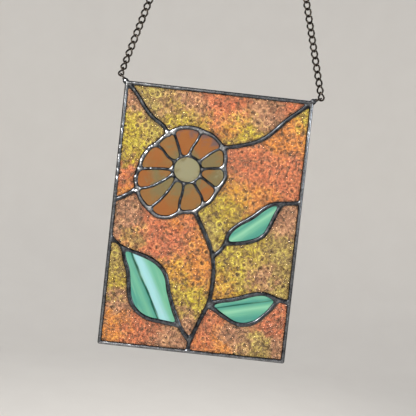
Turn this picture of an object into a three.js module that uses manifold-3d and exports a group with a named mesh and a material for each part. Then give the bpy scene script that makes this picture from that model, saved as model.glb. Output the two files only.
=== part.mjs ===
import * as THREE from 'three';
import { mergeVertices } from 'three/addons/utils/BufferGeometryUtils.js';
import Module from 'manifold-3d';

// A small stained glass panel that hangs by a chain from one point, in millimetres.
// The hook bears at the origin, the panel hangs below it and its front faces -Y.

const wasm = await Module();
wasm.setup();

// Panel and glass
const panelWidth = 127;
const panelHeight = 178;
const glassThickness = 3;
const clearance = 0.3;

// Solder lines: how wide they are, how far they stand out of the glass, and the core between two panes
const lineWidth = 3;
const spokeWidth = 2.3;
const borderWidth = 2.6;
const coreWidth = 0.8;
const edgeWall = 0.9;
const crownHeight = 1;
const spokeCrownHeight = 0.85;
const crownShare = 0.4;
const dabSides = 8;
const pegShare = 0.6;
const jointDabRadius = 2;
const cornerDabRadius = 2.5;

// Flower centre, as an oval in the panel
const centreWidth = 19.5;
const centreHeight = 18.4;
const centreArcs = 12;

// Hanging rings at the top corners, leaning outwards by these angles from straight up
const ringWire = 1.1;
const ringDiameter = 6.3;
const ringStandOff = 3;
const ringWireSides = 5;
const ringSides = 9;
const leftRingLean = THREE.MathUtils.degToRad(39);
const rightRingLean = THREE.MathUtils.degToRad(-63);

// Chain: one curb link, and how high its middle link hangs above the panel
const hangHeight = 250;
const linkLength = 6.8;
const linkWidth = 5;
const linkWire = 1.1;
const linkBite = 0.08;
const linkTwist = THREE.MathUtils.degToRad(-90);
const settleLinks = 5;

// Places on the panel are percent of its width and height, from its lower left corner
const flowerRim = [
  [27.9, 83.2], [31.5, 84.5], [37.0, 85.1], [42.9, 84.4], [50.0, 82.5], [55.4, 78.9], [56.9, 75.3],
  [56.9, 71.3], [58.0, 67.6], [54.5, 62.8], [52.4, 59.6], [50.4, 57.6], [47.7, 56.3], [43.7, 53.8],
  [35.8, 52.8], [30.7, 50.7], [24.4, 50.6], [19.5, 52.9], [14.7, 56.2], [12.0, 60.0], [10.9, 63.8],
  [11.8, 67.4], [13.4, 71.9], [16.5, 75.8], [19.4, 77.4], [22.8, 80.1],
];
const flowerCentre = [37.3, 69.2];

// Each spoke runs from one point of the rim to the centre oval, at a turn from three o'clock.
// It bends sideways by shares of its length: once along the whole way, and once to each side.
const spokes = [
  { rimPoint: 3, turn: 90, bow: 0.01, swing: 0.02 },
  { rimPoint: 5, turn: 40, bow: -0.06, swing: -0.01 },
  { rimPoint: 7, turn: 7, bow: -0.02, swing: 0.01 },
  { rimPoint: 9, turn: -20, bow: -0.01, swing: 0 },
  { rimPoint: 12, turn: -57, bow: -0.07, swing: -0.03 },
  { rimPoint: 14, turn: -97, bow: 0.02, swing: 0.03 },
  { rimPoint: 17, turn: -131, bow: -0.06, swing: 0 },
  { rimPoint: 19, turn: -154, bow: -0.08, swing: -0.01 },
  { rimPoint: 21, turn: -173, bow: 0.03, swing: 0 },
  { rimPoint: 24, turn: 151, bow: 0, swing: 0.04 },
  { rimPoint: 0, turn: 119, bow: 0.02, swing: 0 },
];
const spokeSpans = 3;

// The wide lines run on past the border, which trims them, and end on one another's middle
const wideLines = {
  upperLeft: [[-1.2, 100.8], [6.3, 96.0], [12.4, 90.3], [16.9, 87.2], [22.4, 84.7], [25.4, 81.9]],
  upperRight: [
    [55.4, 78.9], [65.9, 80.8], [74.0, 83.1], [79.8, 86.3], [87.2, 92.0], [101.2, 100.6],
  ],
  left: [[-1.6, 54.3], [4.5, 56.2], [12.0, 60.0]],
  stem: [
    [43.8, 53.8], [52.8, 42.9], [55.8, 37.6], [57.2, 32.0], [57.3, 25.8],
    [56.4, 19.8], [53.1, 13.8], [48.3, 3.7], [48.0, -1.1],
  ],
  lowerLeftLeafTop: [
    [-1.6, 42.1], [8.0, 37.4], [22.0, 34.6], [28.3, 32.1],
    [32.5, 28.2], [34.7, 22.6], [37.8, 16.7], [41.1, 11.8], [44.5, 7.8], [48.7, 4.5],
  ],
  lowerLeftLeafUnder: [
    [7.6, 37.6], [9.6, 32.9], [12.1, 28.5], [14.4, 18.8], [18.4, 14.3],
    [24.7, 11.7], [32.3, 10.9], [42.5, 10.1],
  ],
  upperRightLeafTop: [
    [55.8, 37.6], [59.1, 39.7], [61.6, 43.0], [63.3, 47.2], [67.9, 50.7], [74.4, 53.9],
    [80.5, 57.9], [84.9, 59.8], [89.2, 60.3], [101.6, 61.5],
  ],
  upperRightLeafUnder: [
    [61.6, 43.0], [67.7, 43.5], [75.6, 44.9], [81.7, 47.7], [84.7, 52.2], [86.9, 56.5], [89.6, 60.3],
  ],
  lowerRightLeafTop: [
    [56.3, 19.1], [61.0, 20.8], [69.0, 22.2], [84.1, 25.6], [93.3, 23.9], [101.6, 23.0],
  ],
  lowerRightLeafUnder: [
    [56.3, 19.1], [69.7, 13.8], [75.2, 13.0], [81.7, 14.4], [88.3, 18.9], [93.1, 23.9],
  ],
};

// One place inside each pane tells the panes apart after the lines have cut the glass
const panePlaces = {
  pane_top: [47, 93],
  pane_upper_left: [8, 76],
  pane_centre: [35, 42],
  pane_lower_left: [6, 17],
  pane_upper_right: [83, 76],
  pane_middle_right: [83, 37],
  pane_lower_right: [75, 6],
};
const leafPlaces = {
  leaf_lower_left: [24, 22],
  leaf_upper_right: [75, 49],
  leaf_lower_right: [75, 19],
};

// Half depths of the glass, of the slot round it and of the solder at its edge and its crown
const glassHalf = glassThickness / 2;
const slotHalf = glassHalf + clearance;
const crownHalf = glassHalf + crownHeight;
const spokeCrownHalf = glassHalf + spokeCrownHeight;
const cutHalf = crownHalf * 2;

const solderFinish = new THREE.MeshStandardMaterial({
  color: 0x4a4d50, roughness: 0.38, metalness: 1, flatShading: true,
});
const chainFinish = new THREE.MeshStandardMaterial({
  color: 0x3b3734, roughness: 0.35, metalness: 1, flatShading: true,
});
const rippledFinish = new THREE.MeshStandardMaterial({
  color: 0xb8763c, roughness: 0.15, metalness: 0, flatShading: true,
});
const petalFinish = new THREE.MeshStandardMaterial({
  color: 0xa8672f, roughness: 0.2, metalness: 0, flatShading: true,
});
const centreFinish = new THREE.MeshStandardMaterial({
  color: 0xb3ab7d, roughness: 0.2, metalness: 0, flatShading: true,
});
const leafFinish = new THREE.MeshStandardMaterial({
  color: 0x6cbfa6, roughness: 0.2, metalness: 0, flatShading: true,
});

/** A solid of a closed geometry, with its shared corners merged. */
function solidOf(geometry) {
  const bare = geometry.clone();
  bare.deleteAttribute('normal');
  bare.deleteAttribute('uv');
  const merged = mergeVertices(bare);
  return new wasm.Manifold(new wasm.Mesh({
    numProp: 3,
    vertProperties: new Float32Array(merged.attributes.position.array),
    triVerts: new Uint32Array(merged.index.array),
  }));
}

/** The surface of a solid, as a geometry. */
function geometryOf(solid) {
  const { vertProperties, triVerts } = solid.getMesh();
  const geometry = new THREE.BufferGeometry();
  geometry.setAttribute('position', new THREE.BufferAttribute(vertProperties, 3));
  geometry.setIndex(new THREE.BufferAttribute(triVerts, 1));
  geometry.computeVertexNormals();
  return geometry;
}

function joined(solids) {
  return solids.reduce((whole, solid) => whole.add(solid));
}

/** A point of the panel's drawing: x from its middle, y up from its lower edge. */
function placeOn([across, up]) {
  return new THREE.Vector3((across / 100 - 0.5) * panelWidth, (up / 100) * panelHeight, 0);
}

function box(width, height, depth) {
  return solidOf(new THREE.BoxGeometry(width, height, depth));
}

/** A block centred on the panel, smaller than the panel by a margin all round. */
function panelBlock(margin, halfDepth) {
  const block = box(panelWidth - 2 * margin, panelHeight - 2 * margin, 2 * halfDepth);
  return block.translate([0, panelHeight / 2, 0]);
}

/** A smooth route in equal spans from one chosen point to the next, so a sweep steps at each of them. */
class Route extends THREE.CatmullRomCurve3 {
  getPointAt(u, target) {
    return this.getPoint(u, target);
  }

  getTangentAt(u, target) {
    return this.getTangent(u, target);
  }
}

/** One half of a closed route, with a number of spans. */
class HalfRoute extends THREE.Curve {
  constructor(whole, half) {
    super();
    this.whole = whole;
    this.half = half;
    this.spans = whole.points.length / 2;
  }

  getPointAt(u, target) {
    return this.whole.getPoint((u + this.half) / 2, target);
  }

  getTangentAt(u, target) {
    return this.whole.getTangent((u + this.half) / 2, target);
  }
}

/** The section of a solder line, depth by width: a flat crown, sloping sides and a thin lip. */
function beadSection(width, halfDepth) {
  const side = width / 2;
  const crown = side * crownShare;
  return new THREE.Shape([
    new THREE.Vector2(halfDepth, -crown),
    new THREE.Vector2(halfDepth, crown),
    new THREE.Vector2(slotHalf, side),
    new THREE.Vector2(-slotHalf, side),
    new THREE.Vector2(-halfDepth, crown),
    new THREE.Vector2(-halfDepth, -crown),
    new THREE.Vector2(-slotHalf, -side),
    new THREE.Vector2(slotHalf, -side),
  ]);
}

/** The section of a cut through the glass along a line. */
function cutSection(width) {
  const side = width / 2;
  return new THREE.Shape([
    new THREE.Vector2(cutHalf, -side),
    new THREE.Vector2(cutHalf, side),
    new THREE.Vector2(-cutHalf, side),
    new THREE.Vector2(-cutHalf, -side),
  ]);
}

/** A closed sweep of a section along a route in the panel's plane. */
function sweep(route, section) {
  const steps = route.spans ?? route.points.length - 1;
  return solidOf(new THREE.ExtrudeGeometry(section, { steps, extrudePath: route }));
}

/** A round dab of solder with the section of a line turned about its middle. */
function dab(radius, halfDepth) {
  const crown = radius * crownShare;
  const profile = [
    new THREE.Vector2(0, -halfDepth),
    new THREE.Vector2(crown, -halfDepth),
    new THREE.Vector2(radius, -slotHalf),
    new THREE.Vector2(radius, slotHalf),
    new THREE.Vector2(crown, halfDepth),
    new THREE.Vector2(0, halfDepth),
  ];
  const turned = new THREE.LatheGeometry(profile, dabSides);
  turned.rotateX(Math.PI / 2);
  return solidOf(turned);
}

/** A round cut a little wider than the line whose two halves meet in it. */
function peg(width) {
  const radius = width * pegShare;
  const turned = new THREE.CylinderGeometry(radius, radius, 2 * cutHalf, dabSides);
  turned.rotateX(Math.PI / 2);
  return solidOf(turned);
}

function at(solid, point) {
  return solid.translate([point.x, point.y, point.z]);
}

/** A point of the oval round the flower's centre, at a turn from three o'clock. */
function ovalPoint(turn) {
  const middle = placeOn(flowerCentre);
  middle.x += (centreWidth / 2) * Math.cos(turn);
  middle.y += (centreHeight / 2) * Math.sin(turn);
  return middle;
}

function centreOval() {
  const turns = Array.from({ length: centreArcs }, (_, i) => (i / centreArcs) * 2 * Math.PI);
  return new Route(turns.map(ovalPoint), true);
}

/** A spoke from the rim to the oval: its points lie beside the straight way by its two bends. */
function spokeRoute({ rimPoint, turn, bow, swing }) {
  const start = placeOn(flowerRim[rimPoint]);
  const end = ovalPoint(THREE.MathUtils.degToRad(turn));
  const along = new THREE.Vector3().subVectors(end, start);
  const aside = new THREE.Vector3(-along.y, along.x, 0);
  const points = [];
  for (let i = 0; i <= spokeSpans; i += 1) {
    const t = i / spokeSpans;
    const shift = bow * Math.sin(Math.PI * t) + swing * Math.sin(2 * Math.PI * t);
    points.push(start.clone().addScaledVector(along, t).addScaledVector(aside, shift));
  }
  return new Route(points);
}

const closedLines = [
  { route: new Route(flowerRim.map(placeOn), true), width: lineWidth, half: crownHalf },
  { route: centreOval(), width: spokeWidth, half: spokeCrownHalf },
];
const openLines = [
  ...Object.values(wideLines).map((places) => (
    { route: new Route(places.map(placeOn)), width: lineWidth, half: crownHalf })),
  ...spokes.map((spoke) => (
    { route: spokeRoute(spoke), width: spokeWidth, half: spokeCrownHalf })),
];

/** Every line of the panel cut with one width, as one solid: a closed line is two halves and two pegs. */
function lineCuts(width) {
  const section = cutSection(width);
  const closed = closedLines.flatMap(({ route }) => [0, 1].flatMap((half) => [
    sweep(new HalfRoute(route, half), section),
    at(peg(width), route.getPoint(half / 2)),
  ]));
  return joined([...closed, ...openLines.map(({ route }) => sweep(route, section))]);
}

/** The border, with flat outer sides, from an outline that its slopes widen on both sides. */
function border() {
  const slope = (borderWidth * (1 - crownShare)) / 2;
  const halfWidth = panelWidth / 2 - slope;
  const inner = borderWidth - slope;
  const outline = new THREE.Shape([
    new THREE.Vector2(-halfWidth, slope),
    new THREE.Vector2(halfWidth, slope),
    new THREE.Vector2(halfWidth, panelHeight - slope),
    new THREE.Vector2(-halfWidth, panelHeight - slope),
  ]);
  outline.holes.push(new THREE.Path([
    new THREE.Vector2(inner - panelWidth / 2, inner),
    new THREE.Vector2(inner - panelWidth / 2, panelHeight - inner),
    new THREE.Vector2(panelWidth / 2 - inner, panelHeight - inner),
    new THREE.Vector2(panelWidth / 2 - inner, inner),
  ]));
  const geometry = new THREE.ExtrudeGeometry(outline, {
    depth: 2 * slotHalf,
    bevelThickness: crownHalf - slotHalf,
    bevelSize: slope,
    bevelSegments: 1,
  });
  geometry.translate(0, 0, -slotHalf);
  return solidOf(geometry);
}

/** A ring's frame: it stands across the panel, in the plane of its outward lean and the depth. */
function ringGeometry(corner, lean, wireRadius) {
  const outward = new THREE.Vector3(-Math.sin(lean), Math.cos(lean), 0);
  const geometry = new THREE.TorusGeometry((ringDiameter - ringWire) / 2, wireRadius, ringWireSides, ringSides);
  geometry.rotateX(Math.PI / 2);
  geometry.rotateZ(Math.atan2(outward.y, outward.x));
  const middle = corner.clone().addScaledVector(outward, ringStandOff);
  return geometry.translate(middle.x, middle.y, 0);
}

/** Where a ring's wire is farthest from its corner, in the hanging frame. */
function ringTop(corner, lean) {
  const reach = ringStandOff + (ringDiameter - ringWire) / 2;
  const x = corner.x - Math.sin(lean) * reach;
  const y = corner.y + Math.cos(lean) * reach;
  return new THREE.Vector3(x, 0, y - panelHeight - hangHeight);
}

const corners = [
  { side: 'left', corner: new THREE.Vector3(-panelWidth / 2, panelHeight, 0), lean: leftRingLean },
  { side: 'right', corner: new THREE.Vector3(panelWidth / 2, panelHeight, 0), lean: rightRingLean },
];

function solderLattice() {
  const beads = openLines.map(({ route, width, half }) => sweep(route, beadSection(width, half)));
  for (const { route, width, half } of closedLines) {
    for (const part of [0, 1]) {
      beads.push(sweep(new HalfRoute(route, part), beadSection(width, half)));
      beads.push(at(dab(width / 2, half), route.getPoint(part / 2)));
    }
  }
  beads.push(at(dab(jointDabRadius, crownHalf), placeOn(wideLines.upperLeft.at(-1))));
  beads.push(border());
  const trimmed = joined(beads).intersect(panelBlock(0, cutHalf));
  const dabs = corners.map(({ corner }) => at(dab(cornerDabRadius, crownHalf), corner));
  const slots = panelBlock(edgeWall, slotHalf).subtract(lineCuts(coreWidth));
  const holes = corners.map(({ corner, lean }) => (
    solidOf(ringGeometry(corner, lean, ringWire / 2 + clearance))));
  return joined([trimmed, ...dabs]).subtract(joined([slots, ...holes]));
}

/** The pane of the cut glass that a small probe at a point of the panel finds. */
function paneAt(panes, point) {
  const probe = at(box(clearance, clearance, clearance), point);
  return panes.find((pane) => pane.intersect(probe).volume() > probe.volume() / 2);
}

/** The middle of a petal, between the middles of the spokes on both sides of it. */
function petalPlace(i) {
  const next = (i + 1) % spokes.length;
  return spokeRoute(spokes[i]).getPoint(0.5).lerp(spokeRoute(spokes[next]).getPoint(0.5), 0.5);
}

/** A chain link about the origin, along x: four straight sides of three-sided wire, its ends twisted. */
function linkGeometry(twist) {
  const sides = 4;
  const side = linkWidth / 2;
  const wireHalf = linkWire / Math.sqrt(3);
  const profile = [
    new THREE.Vector2(side - linkWire, 0),
    new THREE.Vector2(side, -wireHalf),
    new THREE.Vector2(side, wireHalf),
    new THREE.Vector2(side - linkWire, 0),
  ];
  const geometry = new THREE.LatheGeometry(profile, sides, Math.PI / sides);
  geometry.rotateX(Math.PI / 2);
  const toFlats = 1 / Math.cos(Math.PI / sides);
  geometry.scale(toFlats, toFlats, 1);
  const position = geometry.attributes.position;
  const stretch = (linkLength - linkWidth) / 2;
  for (let i = 0; i < position.count; i += 1) {
    const end = Math.sign(position.getX(i));
    const x = position.getX(i) + end * stretch;
    const turn = (end * twist) / 2;
    const y = position.getY(i);
    const z = position.getZ(i);
    position.setXYZ(
      i,
      x,
      y * Math.cos(turn) - z * Math.sin(turn),
      y * Math.sin(turn) + z * Math.cos(turn),
    );
  }
  return geometry;
}

const bowRadius = (linkWidth - linkWire) / 2;
const tipReach = (linkLength - linkWire) / 2;
const topLinkCentre = new THREE.Vector3(0, 0, linkWire - linkWidth / 2);

/** Links in a row from a ring up to the middle link, each turned a little to meet both square on. */
function chainSide(foot) {
  const lean = new THREE.Vector3().subVectors(topLinkCentre, foot).normalize();
  const head = topLinkCentre.clone();
  head.x += Math.sign(foot.x) * (tipReach - bowRadius);
  head.addScaledVector(lean, -bowRadius);
  const along = new THREE.Vector3().subVectors(head, foot).normalize();
  const grip = linkWire + clearance;
  const start = foot.clone().addScaledVector(along, tipReach - grip);
  const end = head.clone().addScaledVector(along, grip - tipReach);
  const run = start.distanceTo(end);
  const gaps = Math.floor(run / (linkLength - 2 * linkWire + linkBite));
  const depth = new THREE.Vector3(0, 1, 0);
  const across = new THREE.Vector3().crossVectors(depth, along);
  const frame = new THREE.Matrix4().makeBasis(along, across, depth);
  const links = [];
  for (let i = 0; i <= gaps; i += 1) {
    const fromEnd = Math.min(i, gaps - i);
    const turn = (linkTwist / 2) * Math.max(0, 1 - fromEnd / settleLinks);
    const geometry = linkGeometry(linkTwist);
    geometry.rotateX(turn);
    geometry.applyMatrix4(frame);
    const centre = new THREE.Vector3().lerpVectors(start, end, i / gaps);
    geometry.translate(centre.x, centre.y, centre.z);
    links.push(solidOf(geometry));
  }
  return joined(links);
}

function named(name, geometry, finish) {
  const mesh = new THREE.Mesh(geometry, finish);
  mesh.name = name;
  return mesh;
}

// The panel is drawn flat and stands up about its lower edge
const panel = new THREE.Group();
panel.rotation.x = Math.PI / 2;
panel.position.z = -(hangHeight + panelHeight);
const glass = panelBlock(edgeWall + clearance, glassHalf).subtract(lineCuts(coreWidth + 2 * clearance));
const panes = glass.decompose();
panel.add(named('solder_lattice', geometryOf(solderLattice()), solderFinish));
for (const [name, place] of Object.entries(panePlaces)) {
  panel.add(named(name, geometryOf(paneAt(panes, placeOn(place))), rippledFinish));
}
for (const [name, place] of Object.entries(leafPlaces)) {
  panel.add(named(name, geometryOf(paneAt(panes, placeOn(place))), leafFinish));
}
for (let i = 0; i < spokes.length; i += 1) {
  const petal = paneAt(panes, petalPlace(i));
  panel.add(named(`petal_${String(i + 1).padStart(2, '0')}`, geometryOf(petal), petalFinish));
}
const centre = paneAt(panes, placeOn(flowerCentre));
panel.add(named('flower_centre', geometryOf(centre), centreFinish));
for (const { side, corner, lean } of corners) {
  const ring = solidOf(ringGeometry(corner, lean, ringWire / 2));
  panel.add(named(`hanging_ring_${side}`, geometryOf(ring), chainFinish));
}

const group = new THREE.Group();
group.add(panel);
for (const { side, corner, lean } of corners) {
  group.add(named(`chain_${side}`, geometryOf(chainSide(ringTop(corner, lean))), chainFinish));
}
const topLink = linkGeometry(0);
topLink.rotateX(Math.PI / 2);
topLink.translate(topLinkCentre.x, topLinkCentre.y, topLinkCentre.z);
group.add(named('chain_top_link', geometryOf(solidOf(topLink)), chainFinish));

export default group;
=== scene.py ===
import bpy
import numpy as np
from mathutils import Matrix, Vector


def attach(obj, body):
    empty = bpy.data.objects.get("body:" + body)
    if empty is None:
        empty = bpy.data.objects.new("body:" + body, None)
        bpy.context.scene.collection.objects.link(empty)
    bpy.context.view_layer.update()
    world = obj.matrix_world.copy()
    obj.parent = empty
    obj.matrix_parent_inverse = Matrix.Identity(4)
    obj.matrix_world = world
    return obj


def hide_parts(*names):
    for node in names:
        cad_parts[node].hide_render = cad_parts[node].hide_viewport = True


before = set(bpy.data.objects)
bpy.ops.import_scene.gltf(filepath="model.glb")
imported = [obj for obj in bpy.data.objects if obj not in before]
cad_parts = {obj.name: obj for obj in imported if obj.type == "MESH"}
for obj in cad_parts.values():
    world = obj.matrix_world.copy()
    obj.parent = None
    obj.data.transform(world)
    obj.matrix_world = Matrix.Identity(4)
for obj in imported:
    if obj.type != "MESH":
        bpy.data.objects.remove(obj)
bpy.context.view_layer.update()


# The solder lattice holds every piece of glass. It is tin solder run by hand over copper foil:
# a rounded bead on each side of the glass, fatter where lines meet, and a flat outer edge.
# It stands for the solid of the same name and follows the gaps between the glass solids.
panel_left = -0.0635
panel_right = 0.0635
panel_bottom = -0.428
panel_top = -0.250
glass_half = 0.0015
line_half = 0.00150
spoke_half = 0.00112
border_half = 0.00125
bead_height = 0.00098
gap_half = 0.0007
lattice_cell = 0.00037

flower_nodes = ["flower_centre"] + [f"petal_{i:02d}" for i in range(1, 12)]
pane_nodes = [
    "pane_top", "pane_upper_left", "pane_centre", "pane_lower_left",
    "pane_upper_right", "pane_middle_right", "pane_lower_right",
]
leaf_nodes = ["leaf_lower_left", "leaf_upper_right", "leaf_lower_right"]


def outline_of(node):
    """The front outline of a glass solid, rounded, in x and z: the edges that its forward faces
    share with no other forward face, one after another."""
    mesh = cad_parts[node].data
    corners = np.empty(len(mesh.vertices) * 3)
    mesh.vertices.foreach_get("co", corners)
    corners = corners.reshape(-1, 3)
    mesh.calc_loop_triangles()
    faces = np.empty(len(mesh.loop_triangles) * 3, int)
    mesh.loop_triangles.foreach_get("vertices", faces)
    faces = faces.reshape(-1, 3)
    middle = corners[faces]
    forward = (middle[:, :, 1] < -0.9 * glass_half).all(1)
    plan = np.round(corners[:, [0, 2]] * 1e7).astype(int)
    _, merged = np.unique(plan, axis=0, return_inverse=True)
    merged = merged.reshape(-1)
    first = np.zeros(merged.max() + 1, int)
    first[merged] = np.arange(len(merged))
    edges = merged[faces[forward]][:, [[0, 1], [1, 2], [2, 0]]].reshape(-1, 2)
    _, back, count = np.unique(np.sort(edges, 1), axis=0, return_inverse=True, return_counts=True)
    rim = edges[count[back.reshape(-1)] == 1]
    after = dict(rim.tolist())
    loop = [rim[0, 0]]
    while after[loop[-1]] != loop[0]:
        loop.append(after[loop[-1]])
    return rounded(corners[first[loop]][:, [0, 2]])


def rounded(loop, spans=6, corner=np.radians(50)):
    """A closed outline as short segments (start, end): a smooth curve through its points, whose
    direction at each is that from the point before to the point after, with sharp corners kept."""
    before, after = np.roll(loop, 1, 0), np.roll(loop, -1, 0)
    into, out = loop - before, after - loop
    into_turn = np.arctan2(into[:, 1], into[:, 0])
    turn = (np.arctan2(out[:, 1], out[:, 0]) - into_turn + np.pi) % (2 * np.pi) - np.pi
    smooth = (np.abs(turn) < corner)[:, None]
    chord = (after - before) / np.linalg.norm(after - before, axis=1, keepdims=True)
    length = np.linalg.norm(out, axis=1, keepdims=True)
    leaving = np.where(smooth, chord * length, out)
    arriving = np.where(np.roll(smooth, -1, 0), np.roll(chord, -1, 0) * length, out)
    t = np.arange(spans)[:, None, None] / spans
    curve = ((2 * t ** 3 - 3 * t ** 2 + 1) * loop + (t ** 3 - 2 * t ** 2 + t) * leaving
             + (3 * t ** 2 - 2 * t ** 3) * after + (t ** 3 - t ** 2) * arriving)
    points = curve.transpose(1, 0, 2).reshape(-1, 2)
    return np.stack([points, np.roll(points, -1, 0)], 1)


def depth_in(segments, x, z):
    """How deep each point lies in a closed outline, negative outside, and the nearest point on it:
    the distance to the nearest segment, signed by how many segments a ray to the right crosses."""
    a, b = segments[:, 0], segments[:, 1]
    best = np.full(x.shape, np.inf)
    near = np.zeros(x.shape + (2,))
    crossed = np.zeros(x.shape, bool)
    for (ax, az), (bx, bz) in zip(a, b):
        dx, dz = bx - ax, bz - az
        t = np.clip(((x - ax) * dx + (z - az) * dz) / (dx * dx + dz * dz), 0, 1)
        px, pz = ax + t * dx, az + t * dz
        gap = np.hypot(x - px, z - pz)
        closer = gap < best
        best = np.where(closer, gap, best)
        near[closer] = np.stack([px, pz], -1)[closer]
        if dz != 0:
            over = (az > z) != (bz > z)
            crossed ^= over & (x < ax + (z - az) * dx / dz)
    return np.where(crossed, best, -best), near


def grid_over(low, high, cell):
    """Points x and z of a square grid, as two arrays with x along the first axis."""
    return np.meshgrid(np.arange(low[0], high[0], cell), np.arange(low[1], high[1], cell),
                       indexing="ij")


def bumps(x, z, size, seed):
    """Smooth random heights from -1 to 1: values on a coarse grid, eased from cell to cell."""
    values = np.random.default_rng(seed).uniform(-1, 1, (97, 101))
    u, v = x / size + 311.7, z / size + 407.3
    i, j = np.floor(u).astype(int), np.floor(v).astype(int)
    fu, fv = u - i, v - j
    fu, fv = fu * fu * (3 - 2 * fu), fv * fv * (3 - 2 * fv)
    i0, i1, j0, j1 = i % 97, (i + 1) % 97, j % 101, (j + 1) % 101
    low = values[i0, j0] * (1 - fu) + values[i1, j0] * fu
    high = values[i0, j1] * (1 - fu) + values[i1, j1] * fu
    return low * (1 - fv) + high * fv


def most(a, b, blend):
    """The larger of two fields, with a smooth hollow where they are nearly equal."""
    h = np.clip(blend - np.abs(a - b), 0, None) / blend
    return np.maximum(a, b) + h * h * blend / 4


def eased(value, low, high):
    """0 below low, 1 above high, and a smooth step between them."""
    t = np.clip((value - low) / (high - low), 0, 1)
    return t * t * (3 - 2 * t)


def cut_from(depth, cell):
    """The part of a grid where depth is positive: which points are kept, and its squares and
    corner triangles as indices. Points within half a cell of the edge count as on it."""
    kept = depth > -0.5 * cell
    index = np.arange(depth.size).reshape(depth.shape)
    ring = [index[:-1, :-1], index[1:, :-1], index[1:, 1:], index[:-1, 1:]]
    held = [kept[:-1, :-1], kept[1:, :-1], kept[1:, 1:], kept[:-1, 1:]]
    count = sum(h.astype(int) for h in held)
    quads = np.stack([r[count == 4] for r in ring], 1)
    tris = []
    for missing in range(4):
        rest = [k for k in range(4) if k != missing]
        cells = (count == 3) & ~held[missing]
        tris.append(np.stack([ring[k][cells] for k in rest], 1))
    return quads, np.concatenate(tris)


def slab(name, x, z, front, back, quads, tris):
    """A closed solid from one plan: the plan at depth -front, again turned over at depth back,
    and a wall along every edge that only one face of the plan uses."""
    used, packed = np.unique(np.concatenate([quads.ravel(), tris.ravel()]), return_inverse=True)
    packed = packed.reshape(-1)
    quads = packed[:quads.size].reshape(-1, 4)
    tris = packed[quads.size:].reshape(-1, 3)
    n = len(used)
    x, z = x.ravel()[used], z.ravel()[used]
    front, back = front.ravel()[used], back.ravel()[used]
    points = np.concatenate([np.stack([x, -front, z], 1), np.stack([x, back, z], 1)])
    edges = np.concatenate([quads[:, [0, 1]], quads[:, [1, 2]], quads[:, [2, 3]], quads[:, [3, 0]],
                            tris[:, [0, 1]], tris[:, [1, 2]], tris[:, [2, 0]]])
    code = np.minimum(edges[:, 0], edges[:, 1]) * n + np.maximum(edges[:, 0], edges[:, 1])
    _, place, count = np.unique(code, return_inverse=True, return_counts=True)
    rim = edges[count[place.reshape(-1)] == 1]
    wall = np.stack([rim[:, 1], rim[:, 0], rim[:, 0] + n, rim[:, 1] + n], 1)
    squares = np.concatenate([quads, quads[:, ::-1] + n, wall])
    corners = np.concatenate([tris, tris[:, ::-1] + n])
    return piece(name, points, squares, corners)


def piece(name, points, squares, corners=np.zeros((0, 3), int)):
    """A new object from points, four-sided faces and three-sided faces, shaded smooth."""
    mesh = bpy.data.meshes.new(name)
    mesh.vertices.add(len(points))
    mesh.vertices.foreach_set("co", np.asarray(points, float).ravel())
    loops = np.concatenate([squares.ravel(), corners.ravel()])
    mesh.loops.add(len(loops))
    mesh.loops.foreach_set("vertex_index", loops)
    sizes = np.concatenate([np.full(len(squares), 4), np.full(len(corners), 3)])
    mesh.polygons.add(len(sizes))
    mesh.polygons.foreach_set("loop_start", np.concatenate([[0], np.cumsum(sizes)[:-1]]))
    mesh.polygons.foreach_set("use_smooth", np.ones(len(sizes), bool))
    mesh.update(calc_edges=True)
    made = bpy.data.objects.new(name, mesh)
    bpy.context.scene.collection.objects.link(made)
    return made


outlines = {node: outline_of(node) for node in pane_nodes + leaf_nodes + flower_nodes}
x, z = grid_over((panel_left - 0.0031, panel_bottom - 0.0008),
                 (panel_right + 0.0031, panel_top + 0.0031), lattice_cell)


def deepest(nodes, reach):
    """The depth in whichever of some glass pieces a point is deepest in, down to -reach."""
    depth = np.full(x.shape, -reach)
    for node in nodes:
        low = outlines[node].reshape(-1, 2).min(0) - reach
        high = outlines[node].reshape(-1, 2).max(0) + reach
        i0, j0 = np.maximum(((low - [x[0, 0], z[0, 0]]) / lattice_cell).astype(int), 0)
        i1, j1 = ((high - [x[0, 0], z[0, 0]]) / lattice_cell).astype(int) + 1
        here, _ = depth_in(outlines[node], x[i0:i1, j0:j1], z[i0:i1, j0:j1])
        depth[i0:i1, j0:j1] = np.maximum(depth[i0:i1, j0:j1], here)
    return depth


def softened(field, cells):
    """A field averaged over a few cells each way, three times, which rounds its kinks."""
    for _ in range(3):
        for axis in (0, 1):
            padding = [(cells, cells) if k == axis else (0, 0) for k in (0, 1)]
            wide = np.pad(field, padding, mode="edge")
            sums = np.cumsum(np.insert(wide, 0, 0, axis=axis), axis=axis)
            count = field.shape[axis]
            upper = np.take(sums, np.arange(2 * cells + 1, 2 * cells + 1 + count), axis=axis)
            lower = np.take(sums, np.arange(count), axis=axis)
            field = (upper - lower) / (2 * cells + 1)
    return field


background_depth = deepest(pane_nodes + leaf_nodes, 0.006)
flower_depth = deepest(flower_nodes, 0.006)
off_line = softened(np.maximum(background_depth, flower_depth) + gap_half, 2)
inside_flower = eased(-background_depth, 0.0018, 0.0042) * (flower_depth > -0.005)
half = line_half + (spoke_half - line_half) * inside_flower
half = half * (1 + 0.07 * bumps(x, z, 0.007, 1) + 0.04 * bumps(x, z, 0.0026, 2))

corner_round = 0.0012
mid_x, mid_z = (panel_left + panel_right) / 2, (panel_bottom + panel_top) / 2
over_x = np.abs(x - mid_x) - (panel_right - mid_x - corner_round)
over_z = np.abs(z - mid_z) - (panel_top - mid_z - corner_round)
beyond = np.hypot(np.clip(over_x, 0, None), np.clip(over_z, 0, None))
inward = corner_round - beyond - np.minimum(np.maximum(over_x, over_z), 0)
edge_half = border_half * (1 + 0.08 * bumps(x, z, 0.012, 3) + 0.04 * bumps(x, z, 0.003, 4))

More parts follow.
